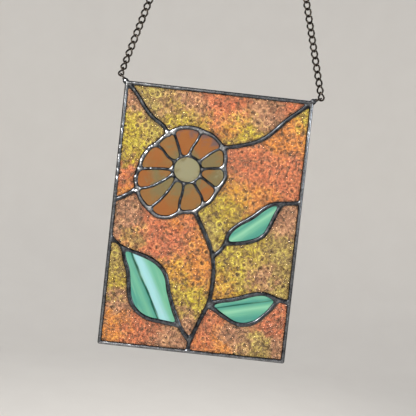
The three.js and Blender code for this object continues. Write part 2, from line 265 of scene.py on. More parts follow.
line_field = 1 - (off_line / half) ** 2 - (np.clip(0.0014 - inward, 0, None) / 0.0007) ** 2
border_field = 1 - ((inward - edge_half) / edge_half) ** 2
field = most(line_field, border_field, 0.7)


def dab_field(dab_x, dab_z, radius):
    """A round dab of solder: 1 in its middle and 0 at its radius."""
    return 1 - ((x - dab_x) ** 2 + (z - dab_z) ** 2) / radius ** 2


dabs = [
    (panel_left + 0.0004, panel_top - 0.0004, 0.0020),
    (panel_left - 0.0009, panel_top + 0.0011, 0.0012),
    (panel_right - 0.0004, panel_top - 0.0004, 0.0020),
    (panel_right + 0.0014, panel_top + 0.0007, 0.0012),
    (-0.0312, -0.2822, 0.0024),
]
for dab_x, dab_z, radius in dabs:
    field = most(field, dab_field(dab_x, dab_z, radius), 0.5)

slope_x, slope_z = np.gradient(field, lattice_cell)
steep = np.maximum(np.hypot(slope_x, slope_z), 200)
to_edge = field / steep
quads, tris = cut_from(to_edge, lattice_cell)
shift = np.where(np.abs(to_edge) < 0.5 * lattice_cell, field / steep ** 2, 0)
edge_x, edge_z = x - shift * slope_x, z - shift * slope_z
rise = np.sqrt(np.clip(np.where(shift != 0, 0, field), 0, None))
low_share = 1 - 0.14 * inside_flower
lumpy = eased(-x, 0.022, 0.033) * eased(z, -0.332, -0.322) * eased(-z, 0.276, 0.284)
front = glass_half - 0.00004 + bead_height * rise * low_share * (
    1 + 0.07 * bumps(x, z, 0.004, 5) + (0.05 + 0.30 * lumpy) * bumps(x, z, 0.0019, 6))
back = glass_half - 0.00004 + bead_height * rise * low_share * (
    0.92 + 0.07 * bumps(x, z, 0.005, 7))
solder = slab("solder_lines", edge_x, edge_z, front, back, quads, tris)

corners = np.empty(len(solder.data.vertices) * 3)
solder.data.vertices.foreach_get("co", corners)
cell_i = np.rint((corners[0::3] - x[0, 0]) / lattice_cell).astype(int)
cell_j = np.rint((corners[2::3] - z[0, 0]) / lattice_cell).astype(int)
# Painted highlight: the crown of each bead is painted bright silver, partly as rubbed bare metal and
# partly as a stand-in for the highlights along the lines, while the bead's edges stay dark. The
# painted highlight is brighter in the flower and on the lumpy left rim.
near_flower = eased(-background_depth, -0.001, 0.002) * (flower_depth > -0.004)
rubbed_and_highlight = eased(rise, 0.74 + 0.06 * (1 - near_flower), 0.95) * (0.3 + 0.7 * near_flower) * (
    0.9 + (0.3 + 0.5 * lumpy) * bumps(x, z, 0.0019, 6) + 0.3 * bumps(x, z, 0.009, 9))
crown = solder.data.attributes.new("crown", "FLOAT", "POINT")
crown.data.foreach_set("value", np.clip(rubbed_and_highlight, 0, 1)[cell_i, cell_j])


def new_node(tree, kind, **values):
    """A node of a kind, with its settings and its inputs' values given by name."""
    made = tree.nodes.new(kind)
    for key, value in values.items():
        name = key.replace("_", " ")
        if hasattr(made, key):
            setattr(made, key, value)
        else:
            made.inputs[name].default_value = value
    return made


def metal_wear():
    """A group: soft clouds and fine grain over the surface, as a colour between two, a roughness
    and a height."""
    group = bpy.data.node_groups.new("hand_worked_metal", "ShaderNodeTree")
    face = group.interface
    for name in ("Deep Color", "Worn Color"):
        face.new_socket(name, in_out="INPUT", socket_type="NodeSocketColor")
    for name in ("Cloud Scale", "Grain Scale", "Smooth", "Rough"):
        face.new_socket(name, in_out="INPUT", socket_type="NodeSocketFloat")
    face.new_socket("Color", in_out="OUTPUT", socket_type="NodeSocketColor")
    face.new_socket("Roughness", in_out="OUTPUT", socket_type="NodeSocketFloat")
    face.new_socket("Height", in_out="OUTPUT", socket_type="NodeSocketFloat")
    link = group.links.new
    source = group.nodes.new("NodeGroupInput")
    sink = group.nodes.new("NodeGroupOutput")
    place = group.nodes.new("ShaderNodeTexCoord")
    cloud = new_node(group, "ShaderNodeTexNoise", Detail=3.0, Roughness=0.6)
    grain = new_node(group, "ShaderNodeTexNoise", Detail=4.0, Roughness=0.65)
    link(place.outputs["Object"], cloud.inputs["Vector"])
    link(place.outputs["Object"], grain.inputs["Vector"])
    link(source.outputs["Cloud Scale"], cloud.inputs["Scale"])
    link(source.outputs["Grain Scale"], grain.inputs["Scale"])
    both = new_node(group, "ShaderNodeMath", operation="MULTIPLY_ADD")
    both.inputs[1].default_value = 0.35
    link(grain.outputs["Fac"], both.inputs[0])
    link(cloud.outputs["Fac"], both.inputs[2])
    worn = new_node(group, "ShaderNodeMapRange", From_Min=0.5, From_Max=0.88)
    link(both.outputs[0], worn.inputs["Value"])
    color = new_node(group, "ShaderNodeMix", data_type="RGBA")
    link(worn.outputs["Result"], color.inputs["Factor"])
    link(source.outputs["Deep Color"], color.inputs["A"])
    link(source.outputs["Worn Color"], color.inputs["B"])
    rough = new_node(group, "ShaderNodeMapRange", From_Min=0.3, From_Max=0.7)
    link(grain.outputs["Fac"], rough.inputs["Value"])
    link(source.outputs["Smooth"], rough.inputs["To Min"])
    link(source.outputs["Rough"], rough.inputs["To Max"])
    link(color.outputs["Result"], sink.inputs["Color"])
    link(rough.outputs["Result"], sink.inputs["Roughness"])
    link(grain.outputs["Fac"], sink.inputs["Height"])
    return group


hand_worked_metal = metal_wear()


def metal(name, deep, worn, cloud, grain, smooth, rough, relief):
    """A metal material that wears the shared clouds and grain with its own values."""
    made = bpy.data.materials.new(name)
    made.use_nodes = True
    tree = made.node_tree
    shader = tree.nodes["Principled BSDF"]
    shader.inputs["Metallic"].default_value = 1.0
    shader.inputs["Specular Tint"].default_value = (0.3, 0.3, 0.3, 1)
    wear = tree.nodes.new("ShaderNodeGroup")
    wear.node_tree = hand_worked_metal
    wear.inputs["Deep Color"].default_value = deep
    wear.inputs["Worn Color"].default_value = worn
    wear.inputs["Cloud Scale"].default_value = cloud
    wear.inputs["Grain Scale"].default_value = grain
    wear.inputs["Smooth"].default_value = smooth
    wear.inputs["Rough"].default_value = rough
    bump = new_node(tree, "ShaderNodeBump", Strength=0.35, Distance=relief)
    tree.links.new(wear.outputs["Color"], shader.inputs["Base Color"])
    tree.links.new(wear.outputs["Roughness"], shader.inputs["Roughness"])
    tree.links.new(wear.outputs["Height"], bump.inputs["Height"])
    tree.links.new(bump.outputs["Normal"], shader.inputs["Normal"])
    return made


def finish_with(made, material, body_slot, *nodes):
    """Gives a new piece its material and its body, and hides the nodes that it stands for. body_slot
    is not used.
    """
    made.data.materials.append(material)
    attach(made, "root")
    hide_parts(*nodes)


solder_metal = metal("solder_metal", (0.010, 0.012, 0.015, 1), (0.09, 0.10, 0.115, 1), 300.0, 1500.0,
                     0.14, 0.32, 0.0001)
tree = solder_metal.node_tree
shader = tree.nodes["Principled BSDF"]
patina = shader.inputs["Base Color"].links[0].from_socket
grain = shader.inputs["Normal"].links[0].from_node.inputs["Height"].links[0].from_socket
# The bright silver on the crowns is partly rubbed metal and partly painted highlight.
crown = new_node(tree, "ShaderNodeAttribute", attribute_name="crown")
streak = new_node(tree, "ShaderNodeMapRange", From_Min=0.35, From_Max=0.62, To_Min=0.3, To_Max=1.0)
bare_and_highlight = new_node(tree, "ShaderNodeMath", operation="MULTIPLY")
rubbed_and_highlight_metal = new_node(tree, "ShaderNodeMix", data_type="RGBA")
rubbed_and_highlight_metal.inputs["B"].default_value = (0.80, 0.82, 0.85, 1)
tree.links.new(grain, streak.inputs["Value"])
tree.links.new(streak.outputs["Result"], bare_and_highlight.inputs[0])
tree.links.new(crown.outputs["Fac"], bare_and_highlight.inputs[1])
tree.links.new(bare_and_highlight.outputs[0], rubbed_and_highlight_metal.inputs["Factor"])
tree.links.new(patina, rubbed_and_highlight_metal.inputs["A"])
tree.links.new(rubbed_and_highlight_metal.outputs["Result"], shader.inputs["Base Color"])
finish_with(solder, solder_metal, "solder", "solder_lattice")


# The seven background panes are see-through art glass, streaked coral, amber, lime and mauve.
# Their front is rippled and pocked with small round craters, and their back is nearly flat.
pane_cell = 0.00043
pane_crater_step = 0.0054
coral = (0.68, 0.15, 0.055)
orange = (0.80, 0.26, 0.015)
amber = (0.74, 0.36, 0.008)
lime = (0.57, 0.46, 0.008)
olive = (0.46, 0.36, 0.06)
mauve = (0.50, 0.22, 0.125)
pane_colours = {
    "pane_top": [(14, 95, 9, olive), (30, 88, 9, lime), (22, 92, 5, mauve), (52, 93, 12, coral),
                 (44, 88, 6, lime), (65, 86, 8, lime), (78, 94, 9, mauve), (88, 97, 7, coral),
                 (37, 95, 8, mauve), (58, 87, 5, orange)],
    "pane_upper_left": [(8, 92, 7, mauve), (9, 80, 9, lime), (17, 84, 6, olive), (6, 66, 6, coral),
                        (7, 59, 4, orange), (5, 73, 5, lime)],
    "pane_centre": [(8, 50, 8, mauve), (22, 44, 10, coral), (36, 43, 9, coral), (50, 40, 8, orange),
                    (14, 42, 5, olive), (42, 33, 7, amber), (52, 30, 7, orange), (48, 21, 9, lime),
                    (46, 10, 7, mauve), (34, 50, 5, orange)],
    "pane_lower_left": [(6, 32, 8, olive), (7, 24, 6, lime), (9, 17, 6, mauve), (8, 8, 7, orange),
                        (22, 5, 9, coral), (35, 4, 8, mauve)],
    "pane_upper_right": [(97, 93, 5, lime), (85, 84, 9, orange), (72, 72, 12, coral),
                         (90, 70, 9, coral), (80, 62, 7, orange), (64, 62, 7, amber),
                         (58, 54, 8, lime), (52, 47, 6, olive), (62, 78, 7, coral)],
    "pane_middle_right": [(94, 53, 7, mauve), (90, 42, 9, olive), (76, 40, 8, lime),
                          (84, 34, 7, mauve), (68, 32, 9, lime), (92, 29, 6, olive),
                          (62, 27, 6, amber)],
    "pane_lower_right": [(55, 8, 8, coral), (62, 5, 7, orange), (75, 8, 8, mauve),
                         (84, 4, 7, olive), (92, 14, 7, coral), (95, 6, 6, mauve)],
}


def crater_relief(x, z):
    """Small craters, one near the middle of each square of a loose grid: a ridge at the ring's
    radius, a bowl inside it, and rays that run outwards from it, each from 0 to 1."""
    rng = np.random.default_rng(11)
    size = 64
    jitter = rng.uniform(-0.36, 0.36, (size, size, 2))
    radius = rng.uniform(0.0008, 0.0023, (size, size))
    strength = rng.uniform(0.0, 1.0, (size, size)) ** 1.3
    count, phase = rng.integers(7, 14, (size, size)), rng.uniform(0, 6.3, (size, size))
    u = (x + 0.0003 * bumps(x, z, 0.0014, 27)) / pane_crater_step
    v = (z + 0.0003 * bumps(x, z, 0.0014, 28)) / pane_crater_step
    i, j = np.floor(u).astype(int), np.floor(v).astype(int)
    ridge, bowl, rays = np.zeros(x.shape), np.zeros(x.shape), np.zeros(x.shape)
    for di in (-1, 0, 1):
        for dj in (-1, 0, 1):
            a, b = (i + di) % size, (j + dj) % size
            off_x = (u - (i + di + 0.5 + jitter[a, b, 0])) * pane_crater_step
            off_z = (v - (j + dj + 0.5 + jitter[a, b, 1])) * pane_crater_step
            away = np.hypot(off_x, off_z)
            across = (away - radius[a, b]) / 0.00042
            ridge = np.maximum(ridge, strength[a, b] * np.exp(-across * across))
            inner = np.clip(1 - (away / radius[a, b]) ** 2, 0, None)
            bowl = np.maximum(bowl, strength[a, b] * inner)
            turned = np.arctan2(off_z, off_x) * count[a, b] + phase[a, b] + 500 * away
            out = np.clip(away / radius[a, b] - 1, 0, None)
            rays = np.maximum(rays, (0.5 + 0.5 * np.sin(turned)) * 2.7 * out * np.exp(-1.6 * out))
    return ridge, bowl, np.clip(rays, 0, 1)


def tint_over(patches, x, z):
    """Broad patches of colour that melt into one another: each weighs less away from its middle,
    and wandering ripples bend where they meet."""
    across = (x - panel_left) + 0.005 * bumps(x, z, 0.006, 21) + 0.0045 * bumps(x, z, 0.0019, 22)
    up = (z - panel_bottom) + 0.005 * bumps(x, z, 0.006, 23) + 0.0045 * bumps(x, z, 0.0019, 24)
    total = np.zeros(x.shape)
    colour = np.zeros(x.shape + (3,))
    for px, pz, size, tint in patches:
        away = np.hypot(across - px * 0.00127, up - pz * 0.00178) / (size * 0.00127)
        weight = np.exp(-1.6 * away ** 2) + 1e-9
        total += weight
        colour += weight[..., None] * np.array(tint)
    return colour / total[..., None]


def rippled_pane(node):
    """A relief pane in the outline of its solid: craters and ripples on its front."""
    segments = outlines[node]
    low, high = segments.reshape(-1, 2).min(0), segments.reshape(-1, 2).max(0)
    px, pz = grid_over(low - pane_cell, high + 2 * pane_cell, pane_cell)
    depth, near = depth_in(segments, px, pz)
    quads, tris = cut_from(depth, pane_cell)
    on_edge = np.abs(depth) < 0.5 * pane_cell
    px, pz = np.where(on_edge, near[..., 0], px), np.where(on_edge, near[..., 1], pz)
    ridge, bowl, rays = crater_relief(px, pz)
    ripple = (0.5 * bumps(px, pz, 0.0021, 31) + 0.35 * bumps(px, pz, 0.0011, 32)
              + 0.4 * bumps(px, pz, 0.0052, 33))
    front = 0.00112 + 0.00034 * ridge - 0.00042 * bowl + 0.00022 * rays + 0.00022 * ripple
    back = 0.00142 + 0.00005 * bumps(px, pz, 0.006, 34)
    made = slab(node.replace("pane", "rippled_pane"), px, pz, front, back, quads, tris)
    corners = np.empty(len(made.data.vertices) * 3)
    made.data.vertices.foreach_get("co", corners)
    vx, vz = corners[0::3], corners[2::3]
    cell_i = np.rint((vx - low[0]) / pane_cell).astype(int) + 1
    cell_j = np.rint((vz - low[1]) / pane_cell).astype(int) + 1
    ridge, bowl, rays = crater_relief(vx, vz)
    tint = tint_over(pane_colours[node], vx, vz)
    # Painted light and shade: the crater rims are painted brighter, as a painted highlight, and the
    # bowls darker, as painted shade.
    shade = 0.37 + 0.95 * rays + 1.20 * ridge + 0.60 * bumps(vx, vz, 0.0013, 25) - 0.24 * bowl
    # Painted shadow: the glass is painted darker close to its outline, where the solder lines stand
    # over it.
    shade = shade * (0.35 + 0.65 * eased(depth[cell_i, cell_j], 0.0002, 0.0026))
    tint = tint * np.clip(shade, 0.05, 1.9)[:, None] ** np.array((0.9, 1.2, 1.2))
    # Painted highlight: the crater rims are also painted a pale yellow.
    tint = tint + 0.22 * ridge[:, None] * (np.array((0.95, 0.75, 0.3)) - tint)
    painted = made.data.attributes.new("tint", "FLOAT_COLOR", "POINT")
    painted.data.foreach_set("color", np.c_[np.clip(tint, 0, 1), np.ones(len(tint))].ravel())
    return made


def hair_threads():
    """A group: fine curling hairs where a bent noise crosses its middle value, from 0 between
    them to 1 on them. Their spacing follows the scale."""
    group = bpy.data.node_groups.new("hair_threads", "ShaderNodeTree")
    face = group.interface
    face.new_socket("Scale", in_out="INPUT", socket_type="NodeSocketFloat")
    face.new_socket("Bend", in_out="INPUT", socket_type="NodeSocketFloat")
    face.new_socket("Hair", in_out="OUTPUT", socket_type="NodeSocketFloat")
    link = group.links.new
    source = group.nodes.new("NodeGroupInput")
    sink = group.nodes.new("NodeGroupOutput")
    place = group.nodes.new("ShaderNodeTexCoord")
    noise = new_node(group, "ShaderNodeTexNoise", Detail=2.0, Roughness=0.6)
    link(place.outputs["Object"], noise.inputs["Vector"])
    link(source.outputs["Scale"], noise.inputs["Scale"])
    link(source.outputs["Bend"], noise.inputs["Distortion"])
    middle = new_node(group, "ShaderNodeMath", operation="SUBTRACT")
    middle.inputs[1].default_value = 0.5
    link(noise.outputs["Fac"], middle.inputs[0])
    away = new_node(group, "ShaderNodeMath", operation="ABSOLUTE")
    link(middle.outputs[0], away.inputs[0])
    hair = new_node(group, "ShaderNodeMapRange", From_Max=0.08, To_Min=1.0, To_Max=0.0)
    link(away.outputs[0], hair.inputs["Value"])
    link(hair.outputs["Result"], sink.inputs["Hair"])
    return group


def rippled_glass():
    """See-through glass in the colour painted on the pane, with pale hairs and deep hairs in
    its fine relief."""
    made = bpy.data.materials.new("rippled_glass")
    made.use_nodes = True
    tree = made.node_tree
    link = tree.links.new
    shader = tree.nodes["Principled BSDF"]
    shader.inputs["Transmission Weight"].default_value = 0.6
    shader.inputs["IOR"].default_value = 1.5
    tint = new_node(tree, "ShaderNodeAttribute", attribute_name="tint")
    hairs = hair_threads()
    deep = tree.nodes.new("ShaderNodeGroup")
    deep.node_tree = hairs
    deep.inputs["Scale"].default_value = 560.0
    deep.inputs["Bend"].default_value = 1.4
    pale = tree.nodes.new("ShaderNodeGroup")
    pale.node_tree = hairs
    pale.inputs["Scale"].default_value = 690.0
    pale.inputs["Bend"].default_value = 2.2
    darker = new_node(tree, "ShaderNodeMix", data_type="RGBA", blend_type="MULTIPLY")
    darker.inputs["B"].default_value = (0.14, 0.07, 0.025, 1)
    link(deep.outputs["Hair"], darker.inputs["Factor"])
    link(tint.outputs["Color"], darker.inputs["A"])
    lighter = new_node(tree, "ShaderNodeMix", data_type="RGBA", blend_type="ADD")
    link(pale.outputs["Hair"], lighter.inputs["Factor"])
    link(darker.outputs["Result"], lighter.inputs["A"])
    glow = new_node(tree, "ShaderNodeMix", data_type="RGBA")
    glow.inputs["Factor"].default_value = 0.45
    glow.inputs["B"].default_value = (1.0, 0.78, 0.46, 1)
    link(tint.outputs["Color"], glow.inputs["A"])
    link(glow.outputs["Result"], lighter.inputs["B"])
    link(lighter.outputs["Result"], shader.inputs["Base Color"])
    shader.inputs["Roughness"].default_value = 0.08
    relief = new_node(tree, "ShaderNodeMath", operation="SUBTRACT")
    link(pale.outputs["Hair"], relief.inputs[0])
    link(deep.outputs["Hair"], relief.inputs[1])
    bump = new_node(tree, "ShaderNodeBump", Strength=0.75, Distance=0.0002)
    link(relief.outputs[0], bump.inputs["Height"])
    link(bump.outputs["Normal"], shader.inputs["Normal"])
    return made


pane_glass = rippled_glass()
for node in pane_nodes:
    finish_with(rippled_pane(node), pane_glass, "rippled_glass", node)


# The petals and the flower's round centre are smooth opal glass, cut from one sheet that runs
# from plum and coral through amber to grey olive. Each solid keeps its shape.
flower_middle = (-0.0161, 0.0, -0.3048)
plum = (0.10, 0.060, 0.055, 1)
burnt = (0.20, 0.070, 0.014, 1)
honey = (0.175, 0.083, 0.022, 1)
sage = (0.125, 0.096, 0.040, 1)
pale_sage = (0.185, 0.175, 0.105, 1)
petal_colours = {
    "petal_01": (sage, burnt, plum),
    "petal_02": (sage, sage, honey),
    "petal_03": (honey, sage, pale_sage),
    "petal_04": (sage, burnt, honey),
    "petal_05": (sage, honey, sage),
    "petal_06": (sage, honey, burnt),
    "petal_07": (sage, sage, honey),
    "petal_08": (honey, sage, burnt),
    "petal_09": (honey, burnt, honey),
    "petal_10": (sage, honey, sage),
    "petal_11": (burnt, burnt, plum),
    "flower_centre": (pale_sage, pale_sage, sage),
}


def opal_skin():
    """A group: the fire-polished skin of opal glass, where clouds in the glass change how sharp
    its gloss is, and long low waves tip its surface."""
    group = bpy.data.node_groups.new("opal_skin", "ShaderNodeTree")
    face = group.interface
    face.new_socket("Cloud", in_out="INPUT", socket_type="NodeSocketFloat")
    face.new_socket("Wave Scale", in_out="INPUT", socket_type="NodeSocketFloat")
    face.new_socket("Roughness", in_out="OUTPUT", socket_type="NodeSocketFloat")
    face.new_socket("Normal", in_out="OUTPUT", socket_type="NodeSocketVector")
    link = group.links.new
    source = group.nodes.new("NodeGroupInput")
    sink = group.nodes.new("NodeGroupOutput")
    place = group.nodes.new("ShaderNodeTexCoord")
    haze = new_node(group, "ShaderNodeMapRange", To_Min=0.1, To_Max=0.25)
    link(source.outputs["Cloud"], haze.inputs["Value"])
    link(haze.outputs["Result"], sink.inputs["Roughness"])
    waves = new_node(group, "ShaderNodeTexNoise", Detail=1.0)
    link(place.outputs["Object"], waves.inputs["Vector"])
    link(source.outputs["Wave Scale"], waves.inputs["Scale"])
    bump = new_node(group, "ShaderNodeBump", Strength=0.25, Distance=0.0002)
    link(waves.outputs["Fac"], bump.inputs["Height"])
    link(bump.outputs["Normal"], sink.inputs["Normal"])
    return group


opal_skin_group = opal_skin()


def opal_material(name, wave):
    """A new opal glass material with the shared skin, its shader and its tree. Light sinks a
    little way into the glass, and a clear coat stands for its gloss."""
    made = bpy.data.materials.new(name)
    made.use_nodes = True
    tree = made.node_tree
    shader = tree.nodes["Principled BSDF"]
    shader.inputs["Subsurface Weight"].default_value = 0.25
    shader.inputs["Subsurface Scale"].default_value = 0.002
    shader.inputs["Coat Weight"].default_value = 0.4
    skin = tree.nodes.new("ShaderNodeGroup")
    skin.node_tree = opal_skin_group
    skin.inputs["Wave Scale"].default_value = wave
    tree.links.new(skin.outputs["Roughness"], shader.inputs["Roughness"])
    tree.links.new(skin.outputs["Normal"], shader.inputs["Normal"])
    return made, tree, shader, skin


def opal_glass(name, colours, low, high):
    """Opal glass whose colour changes with the distance from the flower's middle, from low to
    high, along a way that soft clouds bend."""
    made, tree, shader, skin = opal_material(name, 220.0)
    link = tree.links.new
    place = tree.nodes.new("ShaderNodeTexCoord")
    away = new_node(tree, "ShaderNodeVectorMath", operation="DISTANCE")
    away.inputs[1].default_value = flower_middle
    link(place.outputs["Object"], away.inputs[0])
    clouds = new_node(tree, "ShaderNodeTexNoise", Scale=130.0, Detail=3.0, Distortion=0.8)
    link(place.outputs["Object"], clouds.inputs["Vector"])
    along = new_node(tree, "ShaderNodeMapRange", clamp=False, From_Min=low, From_Max=high)
    link(away.outputs["Value"], along.inputs["Value"])
    bent = new_node(tree, "ShaderNodeMath", operation="MULTIPLY_ADD")
    bent.inputs[1].default_value = 1.5
    link(clouds.outputs["Fac"], bent.inputs[0])
    shifted = new_node(tree, "ShaderNodeMath", operation="SUBTRACT")
    shifted.inputs[1].default_value = 0.75
    link(along.outputs["Result"], shifted.inputs[0])
    link(shifted.outputs[0], bent.inputs[2])
    ramp = tree.nodes.new("ShaderNodeValToRGB")
    ramp.color_ramp.interpolation = "EASE"
    ramp.color_ramp.elements[0].color = colours[0]
    ramp.color_ramp.elements[1].color = colours[2]
    ramp.color_ramp.elements.new(0.5).color = colours[1]
    link(bent.outputs[0], ramp.inputs["Fac"])
    link(ramp.outputs["Color"], shader.inputs["Base Color"])
    link(clouds.outputs["Fac"], skin.inputs["Cloud"])
    return made


def refinish(node, material):
    """Gives a solid that keeps its shape a finished material."""
    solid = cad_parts[node]
    solid.data.materials.clear()
    solid.data.materials.append(material)


for node, colours in petal_colours.items():
    low, high = (0.0, 0.012) if node == "flower_centre" else (0.012, 0.030)
    refinish(node, opal_glass(node + "_glass", colours, low, high))


# The three leaves are smooth opal glass, turquoise and mint, with streaks of milky white and a
# thread of bottle green that run from stalk to tip. Each solid keeps its shape.
teal = (0.045, 0.20, 0.16, 1)
mint = (0.095, 0.285, 0.195, 1)
spring = (0.17, 0.37, 0.25, 1)
milk = (0.22, 0.41, 0.44, 1)
bottle = (0.003, 0.05, 0.03, 1)
leaf_streaks = {
    "leaf_lower_left": (
        (-0.0330, -0.3860), 62.0, 0.012,
        [(0.0, teal), (0.22, mint), (0.36, teal), (0.385, bottle), (0.425, bottle), (0.46, milk),
         (0.58, milk), (0.76, mint), (1.0, mint)]),
    "leaf_upper_right": (
        (0.0320, -0.3360), -40.0, 0.007,
        [(0.0, teal), (0.26, mint), (0.42, spring), (0.50, mint), (0.60, teal), (0.74, mint),
         (1.0, teal)]),
    "leaf_lower_right": (
        (0.0310, -0.3940), -14.0, 0.007,
        [(0.0, teal), (0.28, mint), (0.44, spring), (0.54, mint), (0.66, teal), (0.70, bottle),
         (0.75, teal), (1.0, mint)]),
}


def streaky_glass(node, middle, lean, half_width, stops):
    """Opal glass with streaks along a leaf: a ramp of colours across it, which long stretched
    clouds push to either side."""
    made, tree, shader, skin = opal_material(node + "_glass", 160.0)
    link = tree.links.new
    place = tree.nodes.new("ShaderNodeTexCoord")
    centred = new_node(tree, "ShaderNodeMapping", vector_type="POINT")
    turn = np.radians(lean)
    cos, sin = np.cos(turn), np.sin(turn)
    centred.inputs["Rotation"].default_value = (0, -turn, 0)
    centred.inputs["Location"].default_value = (
        -(middle[0] * cos - middle[1] * sin), 0, -(middle[0] * sin + middle[1] * cos))
    link(place.outputs["Object"], centred.inputs["Vector"])
    stretched = new_node(tree, "ShaderNodeMapping")
    stretched.inputs["Scale"].default_value = (40, 40, 420)
    link(centred.outputs["Vector"], stretched.inputs["Vector"])
    clouds = new_node(tree, "ShaderNodeTexNoise", Scale=1.0, Detail=4.0, Roughness=0.55)
    link(stretched.outputs["Vector"], clouds.inputs["Vector"])
    parts = tree.nodes.new("ShaderNodeSeparateXYZ")
    link(centred.outputs["Vector"], parts.inputs["Vector"])
    across = new_node(tree, "ShaderNodeMapRange", clamp=False, From_Min=-half_width,
                      From_Max=half_width)
    link(parts.outputs["Z"], across.inputs["Value"])
    pushed = new_node(tree, "ShaderNodeMath", operation="MULTIPLY_ADD")
    pushed.inputs[1].default_value = 0.14
    link(clouds.outputs["Fac"], pushed.inputs[0])
    settled = new_node(tree, "ShaderNodeMath", operation="SUBTRACT")
    settled.inputs[1].default_value = 0.07
    link(across.outputs["Result"], settled.inputs[0])
    link(settled.outputs[0], pushed.inputs[2])
    ramp = tree.nodes.new("ShaderNodeValToRGB")
    ramp.color_ramp.elements[0].color = stops[0][1]
    ramp.color_ramp.elements[1].color = stops[-1][1]
    for where, colour in stops[1:-1]:
        ramp.color_ramp.elements.new(where).color = colour
    link(pushed.outputs[0], ramp.inputs["Fac"])
    veil = new_node(tree, "ShaderNodeMix", data_type="RGBA")
    veil.inputs["B"].default_value = spring
    veined = new_node(tree, "ShaderNodeMapRange", From_Min=0.5, From_Max=0.8, To_Max=0.6)
    link(clouds.outputs["Fac"], veined.inputs["Value"])
    link(veined.outputs["Result"], veil.inputs["Factor"])
    link(ramp.outputs["Color"], veil.inputs["A"])
    link(veil.outputs["Result"], shader.inputs["Base Color"])
    link(clouds.outputs["Fac"], skin.inputs["Cloud"])
    return made


for node, (middle, lean, half_width, stops) in leaf_streaks.items():
    refinish(node, streaky_glass(node, middle, lean, half_width, stops))


# A small wire ring stands across each top corner, half sunk in its dab of solder, and leans
# outwards as the chain pulls it. The wire is dark gunmetal, like the chain.
wire_radius = 0.00055
ring_radius = 0.0026
ring_stand_off = 0.003
ring_leans = {"left": (panel_left, np.radians(39)), "right": (panel_right, np.radians(-63))}
chain_metal = metal("chain_metal", (0.008, 0.006, 0.005, 1), (0.11, 0.095, 0.08, 1), 400.0, 2600.0,
                    0.12, 0.28, 0.00003)


def wire_along(centre, normal, radius, around):
    """A closed round wire along a closed centre line: circles in the plane of the line's normal
    and of the direction square to both, as points and four-sided faces."""
    ahead = np.roll(centre, -1, 0) - np.roll(centre, 1, 0)
    ahead /= np.linalg.norm(ahead, axis=1, keepdims=True)
    side = np.cross(normal, ahead)
    side /= np.linalg.norm(side, axis=1, keepdims=True)
    upward = np.cross(ahead, side)
    angle = np.arange(around) / around * 2 * np.pi
    points = (centre[:, None] + radius * (np.cos(angle)[None, :, None] * side[:, None]
                                               + np.sin(angle)[None, :, None] * upward[:, None]))
    count = len(centre)
    i, j = np.meshgrid(np.arange(count), np.arange(around), indexing="ij")
    i2, j2 = (i + 1) % count, (j + 1) % around
    squares = np.stack([i * around + j, i2 * around + j, i2 * around + j2, i * around + j2], -1)
    return points.reshape(-1, 3), squares.reshape(-1, 4)


for side, (corner_x, lean) in ring_leans.items():
    outward = np.array([-np.sin(lean), 0, np.cos(lean)])
    depth = np.array([0, 1.0, 0])
    angle = np.arange(36) / 36 * 2 * np.pi
    middle = np.array([corner_x, 0, panel_top]) + outward * ring_stand_off
    centre = middle + ring_radius * (np.cos(angle)[:, None] * outward
                                     + np.sin(angle)[:, None] * depth)
    across = np.tile(np.cross(outward, depth), (36, 1))
    points, squares = wire_along(centre, across, wire_radius, 12)
    ring = piece("ring_" + side, points, squares)
    finish_with(ring, chain_metal, "chain", "hanging_ring_" + side)


# The chain is fine curb chain of round wire. Its links are ovals with a quarter twist, so the
# chain lies flat, and each bears on the inside of the next. The middle link isn't twisted.
link_length = 0.0068
link_width = 0.005
link_wire = 0.0011
link_bite = 0.00008
chain_radius = 0.00062
link_twist = -np.pi / 2
settle_links = 5
tip_reach = (link_length - link_wire) / 2
bow_radius = (link_width - link_wire) / 2
top_link = np.array([0, 0, link_wire - link_width / 2])


def link_wire_line(twist, turn):
    """The centre line of one link about the origin and the normals of its plane: a rounded oval
    along x, turned about x by a share of the twist that grows from end to end."""
    t = np.arange(16) / 16 * 2 * np.pi
    cos, sin = np.cos(t), np.sin(t)
    along = tip_reach * np.sign(cos) * np.abs(cos) ** 0.85
    across = bow_radius * np.sign(sin) * np.abs(sin) ** 0.85
    angle = turn + twist / 2 * np.sin(np.pi / 2 * along / tip_reach)
    line = np.stack([along, across * np.cos(angle), across * np.sin(angle)], 1)
    normal = np.stack([np.zeros(16), -np.sin(angle), np.cos(angle)], 1)
    return line, normal


def chain_row(foot):
    """The links of one side, from its ring up to the middle link, as points and faces."""
    upward = top_link - foot
    upward /= np.linalg.norm(upward)
    head = top_link + np.array([np.sign(foot[0]) * (tip_reach - bow_radius), 0, 0])
    head = head - upward * bow_radius
    along = (head - foot) / np.linalg.norm(head - foot)
    grip = link_wire + 0.0003
    start = foot + along * (tip_reach - grip)
    end = head + along * (grip - tip_reach)
    gaps = int(np.linalg.norm(end - start) // (link_length - 2 * link_wire + link_bite))
    depth = np.array([0, 1.0, 0])
    basis = np.stack([along, np.cross(depth, along), depth])
    points, squares = [], []
    for i in range(gaps + 1):
        turn = link_twist / 2 * max(0, 1 - min(i, gaps - i) / settle_links)
        line, normal = link_wire_line(link_twist, turn)
        centre = start + (end - start) * i / gaps
        ring, faces = wire_along(line @ basis + centre, normal @ basis, chain_radius, 6)
        squares.append(faces + sum(len(p) for p in points))
        points.append(ring)
    return np.concatenate(points), np.concatenate(squares)


for side, (corner_x, lean) in ring_leans.items():
    reach = ring_stand_off + ring_radius
    foot = np.array([corner_x - np.sin(lean) * reach, 0, panel_top + np.cos(lean) * reach])
    row = piece("chain_links_" + side, *chain_row(foot))
    finish_with(row, chain_metal, "chain", "chain_" + side)
line, normal = link_wire_line(0, 0)
flat = np.stack([[1, 0, 0], [0, 0, 1], [0, -1, 0]]).astype(float)
ring, faces = wire_along(line @ flat + top_link, normal @ flat, wire_radius, 10)
middle_link = piece("middle_link", ring, faces)
finish_with(middle_link, chain_metal, "chain", "chain_top_link")


